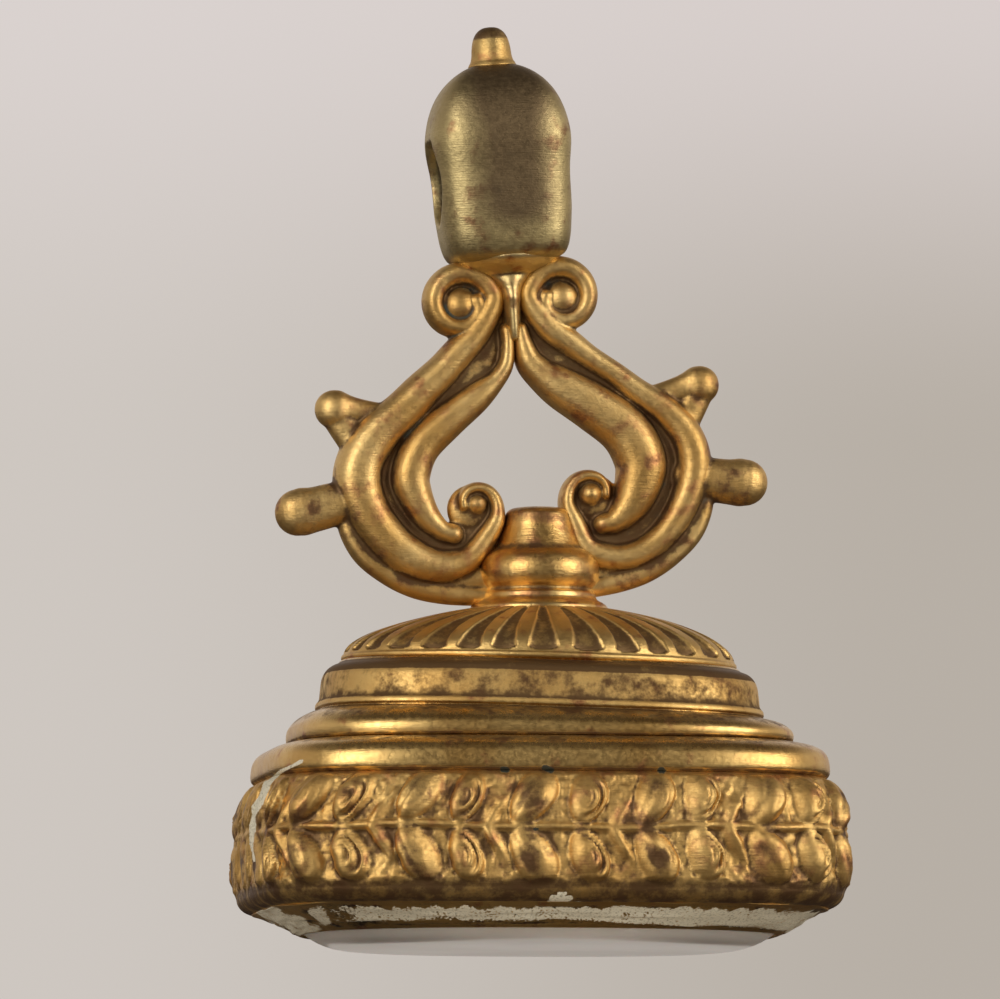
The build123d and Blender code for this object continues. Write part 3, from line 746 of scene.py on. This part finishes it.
finial = {
    "rows": 50, "columns": 60, "seed": 35, "wave": 0.01, "brown": [(18.2, 19, 0.6)],
    "shape": [
        (0, 17.0), (0.5, 17.2), (0.80, 17.36), (0.80, 17.46), (0.73, 17.58), (0.69, 17.75), (0.67, 17.95),
        (0.64, 18.15), (0.58, 18.36), (0.46, 18.56), (0.26, 18.70), (0, 18.74),
    ],
}


def turned(name, node, material, form, place=None):
    # a profile of (radius, height) points turned about the upright axis, its ends on the axis;
    # brown lists (from, to, amount) heights
    angle = evenTurn(form["columns"])
    r, z = smoothCurve(form["shape"], form["rows"]).T[..., None]
    points = ringAt(angle, r * (1 + wobble(angle, form["seed"], form["wave"])), z)
    patinaAndShade = 0 * points[..., 2]
    for low, high, amount in form["brown"]:
        patinaAndShade = np.maximum(patinaAndShade, amount * rise(z, low, 0.15) * fade(z, high, 0.15))
    patinaAndShade = np.concatenate([patinaAndShade[1:-1].ravel(), patinaAndShade[[0, -1], 0]])  # in poleGrid's order
    points = place(points) if place else points
    addPiece(name, meshFrom(name, *poleGrid(points)), node, material, 20, 0.06, None, patinaAndShade)


def deepened(points):
    # the post is drawn out front to back below its flare, so that it fills the seam between the arms
    points[..., 1] *= 1 + post["drawnOut"] * fade(points[..., 2], 10.2, 0.8)
    return leaned(points)


# Lyre: each arm is a trough between two ribs, with two volutes, two sprigs and a backing strip;
# routes list (x, z, half width) in the plane of the right arm

scroll = {"voxel": 0.050, "smooth": 4, "around": 30, "capRows": 6, "plump": 0.85}
upperVolute = {
    "eye": (1.70, 9.33), "start": 180, "sweep": -370, "radius": (1.08, 0.52), "half": (0.43, 0.30),
    "points": 14,
}
outerRib = [
    (1.24, 8.34, 0.50), (1.94, 7.70, 0.52), (2.52, 7.16, 0.52), (3.34, 6.50, 0.55), (4.05, 5.86, 0.60),
    (4.90, 5.20, 0.66), (5.53, 4.40, 0.71), (5.76, 3.60, 0.74), (5.66, 2.85, 0.72), (5.32, 2.05, 0.69),
    (4.75, 1.25, 0.66), (4.10, 0.72, 0.63), (3.40, 0.44, 0.58), (2.70, 0.42, 0.53), (1.97, 0.74, 0.45),
]
innerRib = [
    (0.24, 8.35, 0.26), (0.33, 7.85, 0.38), (0.52, 7.25, 0.52), (0.90, 6.80, 0.62), (1.54, 6.30, 0.78),
    (2.62, 5.54, 0.88), (3.62, 4.68, 0.93), (4.08, 3.70, 0.95), (4.02, 2.98, 0.90), (3.64, 2.16, 0.74),
    (3.05, 1.60, 0.50), (2.55, 1.50, 0.36),
]
ribShift = {
    "left": {"outer": (0.07, 0.09), "inner": (0.22, -0.26), "sprig": 0.2},
    "right": {"outer": (-0.11, -0.13), "inner": (0.04, -0.07), "sprig": 0.0},
}
channel = [
    (0.36, 9.0, 0.28), (0.5, 8.5, 0.34), (0.80, 7.8, 0.45), (1.35, 7.15, 0.58), (2.05, 6.6, 0.60),
    (3.0, 5.95, 0.58), (4.1, 5.2, 0.55), (4.75, 4.5, 0.6), (5.0, 3.7, 0.65), (4.8, 2.7, 0.62),
    (4.2, 1.6, 0.58), (3.1, 1.05, 0.5), (2.1, 1.2, 0.45), (1.7, 1.8, 0.42), (1.9, 2.4, 0.35),
]
backStrip = [
    (6.05, 2.5, 0.32), (6.10, 1.95, 0.35), (5.66, 1.05, 0.38), (4.85, 0.32, 0.39), (4.0, -0.18, 0.38),
    (3.1, -0.44, 0.38), (2.2, -0.58, 0.36), (1.6, -0.62, 0.34),
]
upperSprig = [(4.7, 5.6, 0.56), (5.3, 5.85, 0.46), (5.75, 5.97, 0.50), (6.1, 6.03, 0.64), (6.3, 6.05, 0.66)]
sprigFoot = [(6.22, 5.75, 0.50), (5.95, 5.35, 0.54), (5.65, 4.85, 0.55)]
lowerSprig = [(5.7, 2.95, 0.70), (6.4, 2.80, 0.75), (7.0, 2.69, 0.77), (7.4, 2.64, 0.82), (7.58, 2.62, 0.80)]
lowerCurl = {
    "left": {"eye": (1.70, 2.48), "size": 0.86, "ball": 0.42},
    "right": {"eye": (2.22, 2.56), "size": 1.0, "ball": 0.46},
    "angle": [235, 200, 165, 130, 95, 60, 25, -10],
    "radius": [1.08, 0.86, 0.75, 0.69, 0.65, 0.62, 0.59, 0.55],
    "half": [0.36, 0.28, 0.25, 0.23, 0.21, 0.20, 0.18, 0.16],
}
curlNeck = [(1.0, 1.8, 0.30), (1.2, 1.2, 0.42), (1.6, 0.5, 0.45)]
footWeb = [(3.3, 0.02, 0.36), (2.4, -0.10, 0.42), (1.5, -0.05, 0.5)]


def unitTangent(path):
    # directions along a path, each of length one
    tangent = np.gradient(path, axis=0)
    return tangent / np.linalg.norm(tangent, axis=1)[:, None]


def tube(route, deep=0.55, gain=0.6, count=150):
    # plump oval sections along a smooth route in the XZ plane, the ends rounded over;
    # half depth is a base plus a share of half width
    curve = smoothCurve(route, count)
    centre, half = curve[:, :2], np.maximum(curve[:, 2], 0.05)
    tangent = unitTangent(centre)
    capRows = scroll["capRows"]
    bend = np.linspace(math.pi / 2, 0, capRows + 1)[:-1]
    ends = []
    for k, way in ((0, -1), (-1, 1)):
        c = centre[k] + way * tangent[k] * half[k] * np.sin(bend)[:, None]
        ends.append((c, half[k] * np.cos(bend), np.tile(tangent[k], (capRows, 1))))
    centre = np.vstack([ends[0][0], centre, ends[1][0][::-1]])
    half = np.concatenate([ends[0][1], half, ends[1][1][::-1]])
    tangent = np.vstack([ends[0][2], tangent, ends[1][2][::-1]])
    depth = half * (deep / np.maximum(half, 0.12) + gain)
    depth[:capRows] = depth[capRows] * np.cos(bend)
    depth[-capRows:] = depth[-capRows - 1] * np.cos(bend)[::-1]
    side = np.stack([-tangent[:, 1], tangent[:, 0]], -1)
    turn = evenTurn(scroll["around"])
    wide, high = [np.sign(f(turn)) * np.abs(f(turn)) ** scroll["plump"] for f in (np.cos, np.sin)]
    xz = centre[:, None, :] + side[:, None, :] * (half[:, None] * wide)[..., None]
    return poleGrid(np.stack([xz[..., 0], depth[:, None] * high, xz[..., 1]], -1))


def ball(x, z, r, flat):
    # a round boss: rings of a sphere, squashed or drawn out front to back
    lat = np.linspace(-math.pi / 2, math.pi / 2, 16)[:, None]
    lon = evenTurn(28)
    ring = r * np.cos(lat)
    deep = flat * r * np.sin(lat) + 0 * lon
    return poleGrid(np.stack([x + ring * np.cos(lon), deep, z + ring * np.sin(lon)], -1))


def loopRoute(eye, angle, r, half):
    # points round an eye at angles in degrees and distances, with their half widths
    angle = np.radians(angle)
    return np.stack([eye[0] + r * np.cos(angle), eye[1] + r * np.sin(angle), half], -1)


def voluteRoute(form):
    # a spiral about its eye; its half width falls evenly with the angle, its radius as the angle's square
    share = np.linspace(0, 1, form["points"])
    r = form["radius"][0] + (form["radius"][1] - form["radius"][0]) * share**2
    half = form["half"][0] + (form["half"][1] - form["half"][0]) * share
    return loopRoute(form["eye"], form["start"] + form["sweep"] * share, r, half)


def shifted(route, shift, gain):
    # each point moves along the route's normal, towards the lyre's opening, and its half width grows;
    # the ends stay
    route = np.array(route)
    tangent = unitTangent(route[:, :2])
    share = np.clip(1.6 * np.sin(np.linspace(0, math.pi, len(route))), 0, 1)[:, None]
    normal = np.stack([tangent[:, 1], -tangent[:, 0]], -1)
    return np.hstack([route[:, :2] + shift * share * normal, route[:, 2:] + gain * share])


def fusedMesh(name, parts):
    # one skin round all the parts: a fine voxel remesh in millimetres, then a light relaxing
    # that rounds the creases
    starts = np.cumsum([0] + [len(verts) for verts, _, _ in parts])
    verts = np.vstack([part[0] for part in parts])
    faces = [(part[k] + start).tolist() for k in (1, 2) for part, start in zip(parts, starts)]
    mesh = bpy.data.meshes.new(name + "Raw")
    mesh.from_pydata(verts.tolist(), [], sum(faces, []))
    mesh.update()
    raw = bpy.data.objects.new(name + "Raw", mesh)
    bpy.context.collection.objects.link(raw)
    remesh = raw.modifiers.new("skin", "REMESH")
    remesh.mode = "VOXEL"
    remesh.voxel_size = scroll["voxel"]
    done = bpy.data.meshes.new_from_object(raw.evaluated_get(bpy.context.evaluated_depsgraph_get()))
    co, _, edges = meshArrays(done, 1.0)
    quads = np.empty(len(done.loops), np.int32)
    done.loops.foreach_get("vertex_index", quads)
    bpy.data.objects.remove(raw)
    bpy.data.meshes.remove(mesh)
    bpy.data.meshes.remove(done)
    return relax(co, edges, scroll["smooth"], 0.5), quads.reshape(-1, 4)


def buildScroll(name, node, side):
    # the arm's tubes and bosses fused, its lower curl a loop of shrinking radius about the eye;
    # mirrored for the left arm and leaned with the handle
    shift, curl = ribShift[side], lowerCurl[side]
    eyeX, eyeZ = upperVolute["eye"]
    curlX, curlZ = curl["eye"]
    lap = np.array(lowerCurl["radius"]) * curl["size"]
    loop = loopRoute(curl["eye"], lowerCurl["angle"], lap, lowerCurl["half"])
    longRib = np.vstack([voluteRoute(upperVolute)[::-1], shifted(outerRib, *shift["outer"]), loop])
    longSprig = np.array(lowerSprig)
    longSprig[1:, 0] += shift["sprig"]
    verts, quads = fusedMesh(name, [
        tube(longRib, count=460),
        tube(shifted(innerRib, *shift["inner"]), count=220),
        tube(channel, 0.22, 0.15),
        tube(backStrip, 0.3, 0.5),
        tube(upperSprig, 0.1, 0.85),
        tube(sprigFoot, 0.1, 0.8),
        tube(longSprig, 0.1, 0.85),
        ball(eyeX + 0.04, eyeZ - 0.04, 0.68, 1.08),
        ball(eyeX, eyeZ, 1.0, 0.34),
        ball(curlX, curlZ, curl["ball"], 1.75),
        ball(curlX + 0.15, curlZ - 0.15, 0.85, 0.5),
        tube(curlNeck, 0.2, 0.2),
        tube(footWeb, 0.25, 0.4),
    ])
    x, y, z = verts.T

    def gapsTo(curve):
        return np.hypot(x[:, None] - curve[:, 0], z[:, None] - curve[:, 1])

    # brown on the backing strip, the sprigs' ends, the volute's hollow and the trough; stain in the hollow
    strip, trough = smoothCurve(backStrip, 60), smoothCurve(channel, 80)
    under = np.min(gapsTo(strip) - strip[:, 2], 1)
    hollow = fade(np.hypot(x - eyeX, z - eyeZ), 0.86, 0.1) * fade(np.abs(y), 0.62, 0.2)
    groove = fade(np.min(gapsTo(trough), 1), 0.75, 0.2) * fade(np.abs(y), 0.72, 0.2)
    patinaAndShade = 0.12 * fade(under, 0, 0.15) + 0.12 * rise(x, 6.0, 0.6) + np.maximum(0.2 * hollow, 0.14 * groove)
    stain = 0.6 * hollow * np.clip(0.75 - (x - eyeX) * 0.6, 0, 1)
    verts[:, 0] *= -1 if side == "left" else 1
    mesh = meshFrom(name, leaned(verts), quads)
    addPiece(name, mesh, node, gilt["scrollGilt"], 34, 0.075, {"stain": stain}, patinaAndShade)


# Bail: a barrel with a domed top, bored across for the ring

bail = {
    "bore": 1.35, "mouth": 0.05, "rise": 13.5, "squareness": 3.8, "depth": 0.95,
    "columns": 200, "rows": 84, "wallRows": 16,
    "profile": [  # height in the handle and half width
        (10.62, 0.0), (10.64, 1.2), (10.70, 1.72), (10.85, 1.98), (11.1, 2.10), (11.5, 2.19), (12.3, 2.27),
        (13.1, 2.32), (13.9, 2.36), (14.5, 2.42), (14.9, 2.43), (15.3, 2.38), (15.7, 2.29), (16.1, 2.15),
        (16.45, 1.97), (16.8, 1.70), (17.1, 1.36), (17.3, 1.02), (17.45, 0.62), (17.52, 0.3), (17.54, 0.0),
    ],
}


def halved(inside, low, high, rounds):
    # the largest values that are still inside, found by halving the span between low and high
    for _ in range(rounds):
        mid = (low + high) / 2
        kept = inside(mid)
        low, high = np.where(kept, mid, low), np.where(kept, high, mid)
    return low


def buildBail():
    # rings about the bore: along its wall, then back over the barrel's skin, where |x/a|^n + |y/b|^n = 1
    # with a and b following the profile
    turn = evenTurn(bail["columns"])[:, None]
    heights, halfWidths = np.array(bail["profile"]).T
    n = bail["squareness"]

    def inside(x, q):
        y, z = q * np.sin(turn), bail["rise"] + q * np.cos(turn)
        half = np.maximum(np.interp(z, heights, halfWidths), 1e-4)
        return (np.abs(x) / half) ** n + (np.abs(y) / (half * bail["depth"])) ** n - 1 <= 0

    mouth = bail["bore"] + bail["mouth"]
    edge = halved(lambda x: inside(x, mouth), np.zeros_like(turn), np.full_like(turn, 2.6), 40)
    x = edge * np.cos(np.linspace(0, math.pi, bail["rows"]))
    skin = halved(lambda q: inside(x, q), np.full_like(x, mouth), np.full_like(x, 6.0), 44)
    along = edge * np.linspace(-1, 1, bail["wallRows"])
    wall = bail["bore"] + bail["mouth"] * rise(np.abs(along) - edge, -0.3, 0.3) ** 2
    x = np.concatenate([x, along[:, 1:-1]], 1)
    q = np.concatenate([skin, wall[:, 1:-1]], 1)
    points = np.stack([x, q * np.sin(turn), bail["rise"] + q * np.cos(turn)], -1)
    mesh = ringMesh("bailBarrel", leaned(points))
    co, _, edges = meshArrays(mesh)
    placeVerts(mesh, relax(co, edges, 6, 0.5))
    mesh.update()

    # painted reflection: a darker stripe up the middle of the barrel and a darker top, where it faces the
    # dark room in front and above; painted shade in the bore
    stripe = fade(np.hypot(x - 0.25, 1.4 * np.minimum(points[..., 2] - 12.6, 0)), 1.75, 1.1)
    paintedReflection = stripe + np.clip((points[..., 2] - 15.2) / 2.0, 0, 0.3)
    patinaAndShade = np.zeros(x.shape)
    patinaAndShade[:, bail["rows"]:] = 0.6
    addPiece("bailBarrel", mesh, "bail", gilt["bailGilt"], 26, 0.09, {"paintedReflection": np.clip(paintedReflection, 0, 1)}, patinaAndShade)


buildStone()
buildBezel()
buildBand()
print("stone, setting and leaf band done")
buildMoulding("lowerTorus", "lower_moulding", lower)
buildMoulding("upperTorus", "upper_moulding", upper)
buildDome()
turned("neckKnop", "neck_collar", gilt["collarGilt"], collar)
print("base and collar done")
buildScroll("lyreLeft", "left_scroll", "left")
buildScroll("lyreRight", "right_scroll", "right")
print("lyre done")
turned("bailStalk", "bail_post", gilt["postGilt"], post, deepened)
buildBail()
turned("topPip", "bail_finial", gilt["finialGilt"], finial, leaned)
print("bail done")


# Inner pieces keep their solids, with plain procedural finishes

def innerMaterial(name, dark, light, metal, rough):
    # two tones in soft clouds
    material, tree, shader = newMaterial(name)
    cloud = spread(tree, noiseNode(tree, objectCoords(tree), 1.0), 0.35, 0.65)
    tree.links.new(mixColour(tree, cloud, dark, light), shader.inputs["Base Color"])
    shader.inputs["Metallic"].default_value = metal
    shader.inputs["Roughness"].default_value = rough
    return material


innerLooks = {
    "stone_cement": innerMaterial("resinCement", (0.16, 0.08, 0.05), (0.26, 0.14, 0.08), 0.0, 0.6),
    "base_filling": innerMaterial("darkPitch", (0.03, 0.022, 0.018), (0.06, 0.045, 0.035), 0.0, 0.5),
    "handle_tang": innerMaterial("plainBrass", (0.42, 0.29, 0.11), (0.58, 0.42, 0.17), 1.0, 0.4),
}
innerLooks["tang_washer"] = innerLooks["handle_tang"]
for node, look in innerLooks.items():
    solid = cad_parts[node]
    solid.data.materials.clear()
    solid.data.materials.append(look)
print("inner pieces done")


# Stage: a pale floor seen only from above, open under the stone, and the studio

floor = {
    "halfWidth": 7.3, "halfDepth": 5.7, "down": -0.02, "columns": 96, "grow": [0, 12, 60, 300, 1500.0],
    "pale": (0.86, 0.82, 0.78), "mirrored": (0.16, 0.14, 0.13),
}
studio = {
    "left": (0.615, 0.57, 0.53), "right": (0.475, 0.43, 0.38),
    "topLeft": (0.70, 0.645, 0.625), "topRight": (0.68, 0.62, 0.60),
    "behind": (0.60, 0.55, 0.52), "beside": (0.24, 0.22, 0.20), "front": (0.075, 0.063, 0.054),
    "above": (0.085, 0.072, 0.064), "below": (0.48, 0.45, 0.42),
}
softBoxes = {
    "leftBox": {"from": (-44, 14), "size": (240, 330), "strength": 4.5, "colour": (1.0, 0.97, 0.92)},
    "rightBox": {"from": (54, 12), "size": (260, 330), "strength": 4.3, "colour": (1.0, 0.96, 0.90)},
}
boxDistance, boxTarget = 420, 0.014  # millimetres, and metres up the seal
sensorWidth = 36


def buildFloor():
    # a flat ring from just inside the stone's edge to far out; from below it lets everything through
    angle = evenTurn(floor["columns"])
    grow = np.array(floor["grow"])[:, None]
    x, y = (floor["halfWidth"] + grow) * np.cos(angle), (floor["halfDepth"] + grow) * np.sin(angle)
    points = np.stack([x, y, np.full_like(x, floor["down"])], -1).reshape(-1, 3) * toMetres
    mesh = bpy.data.meshes.new("paleFloor")
    mesh.from_pydata(points.tolist(), [], gridFaces(*x.shape, False).tolist())
    mesh.update()
    if mesh.polygons[0].normal.z < 0:
        mesh.flip_normals()
    thing = bpy.data.objects.new("paleFloor", mesh)
    bpy.context.collection.objects.link(thing)
    material, tree, shader = newMaterial("paleFloor")
    out = shader.outputs[0].links[0].to_node
    glossy = tree.nodes.new("ShaderNodeLightPath").outputs["Is Glossy Ray"]
    tree.links.new(mixColour(tree, glossy, floor["pale"], floor["mirrored"]), shader.inputs["Base Color"])
    shader.inputs["Roughness"].default_value = 0.9
    shader.inputs["Specular IOR Level"].default_value = 0.1
    clear = tree.nodes.new("ShaderNodeBsdfTransparent")
    mix = tree.nodes.new("ShaderNodeMixShader")
    tree.links.new(tree.nodes.new("ShaderNodeNewGeometry").outputs["Backfacing"], mix.inputs[0])
    tree.links.new(shader.outputs[0], mix.inputs[1])
    tree.links.new(clear.outputs[0], mix.inputs[2])
    tree.links.new(mix.outputs[0], out.inputs[0])
    mesh.materials.append(material)


def aim(azimuth, elevation):
    # the right, up and back directions of a thing that looks at the seal from an azimuth and an elevation
    az, el = math.radians(azimuth), math.radians(elevation)
    back = np.array([math.sin(az) * math.cos(el), -math.cos(az) * math.cos(el), math.sin(el)])
    right = np.array([math.cos(az), math.sin(az), 0])
    return right, np.cross(back, right), back


def stand(name, data, axes, place):
    # an object at a place, turned so that its axes are the given ones
    thing = bpy.data.objects.new(name, data)
    bpy.context.collection.objects.link(thing)
    matrix = np.eye(4)
    matrix[:3] = np.stack([*axes, place], -1)
    thing.matrix_world = Matrix(matrix.tolist())
    return thing


def buildCamera():
    # looks along the photograph's line, placed so that the stone's middle falls on its pixel at that scale
    right, up, back = aim(view["azimuth"], view["elevation"])
    shiftX = (view["middlePixel"][0] - view["originPixel"][0]) / view["scale"]
    shiftY = (view["originPixel"][1] - view["middlePixel"][1]) / view["scale"]
    place = (right * shiftX + up * shiftY + back * view["distance"]) * toMetres
    data = bpy.data.cameras.new("photoCamera")
    data.sensor_fit = "HORIZONTAL"
    data.sensor_width = sensorWidth
    data.lens = view["scale"] * view["distance"] / view["pixelsWide"] * sensorWidth
    data.clip_start, data.clip_end = 0.01, 20
    bpy.context.scene.camera = stand("photoCamera", data, (right, up, back), place)


def addLight(name, box):
    # a soft box that faces the seal; strength is its brightness as seen
    data = bpy.data.lights.new(name, "AREA")
    data.shape = "RECTANGLE"
    data.size, data.size_y = box["size"][0] * toMetres, box["size"][1] * toMetres
    data.energy = box["strength"] * math.pi * data.size * data.size_y
    data.color = box["colour"]
    axes = aim(*box["from"])
    stand(name, data, axes, axes[2] * boxDistance * toMetres + np.array([0, 0, boxTarget]))


def buildWorld():
    # camera rays: the pale backdrop, a little darker to the right and lighter at the top;
    # other rays: pale behind and below, dim in front and above
    world = bpy.data.worlds.new("studio")
    bpy.context.scene.world = world
    world.use_nodes = True
    tree = world.node_tree
    tree.nodes.clear()
    out = tree.nodes.new("ShaderNodeOutputWorld")
    light = tree.nodes.new("ShaderNodeBackground")
    coords = tree.nodes.new("ShaderNodeTexCoord").outputs["Generated"]

    def along(direction, low, high):
        # a smooth step of how far a ray goes in a direction
        node = tree.nodes.new("ShaderNodeVectorMath")
        node.operation = "DOT_PRODUCT"
        node.inputs[1].default_value = tuple(direction)
        tree.links.new(coords, node.inputs[0])
        return spread(tree, node.outputs["Value"], low, high)

    right, _, _ = aim(view["azimuth"], view["elevation"])
    aside = along(right, -0.028, 0.026)
    middle = mixColour(tree, aside, studio["left"], studio["right"])
    top = mixColour(tree, aside, studio["topLeft"], studio["topRight"])
    backdrop = mixColour(tree, along((0, 0, 1), 0.072, 0.10), middle, top)
    room = mixColour(tree, along((0, -1, 0), -0.25, 0.25), studio["behind"], studio["beside"])
    room = mixColour(tree, along((0, -1, 0), 0.35, 0.85), room, studio["front"])
    room = mixColour(tree, along((0, 0, 1), 0.35, 0.9), room, studio["above"])
    room = mixColour(tree, along((0, 0, -1), 0.35, 0.9), room, studio["above"])
    room = mixColour(tree, along((0, 0, -1), 0.1, 0.7), room, studio["below"])
    seen = tree.nodes.new("ShaderNodeLightPath").outputs["Is Camera Ray"]
    tree.links.new(mixColour(tree, seen, room, backdrop), light.inputs[0])
    tree.links.new(light.outputs[0], out.inputs[0])


buildFloor()
buildCamera()
buildWorld()
for name, box in softBoxes.items():
    addLight(name, box)
bpy.context.scene.view_settings.view_transform = "Standard"
print("stage done")
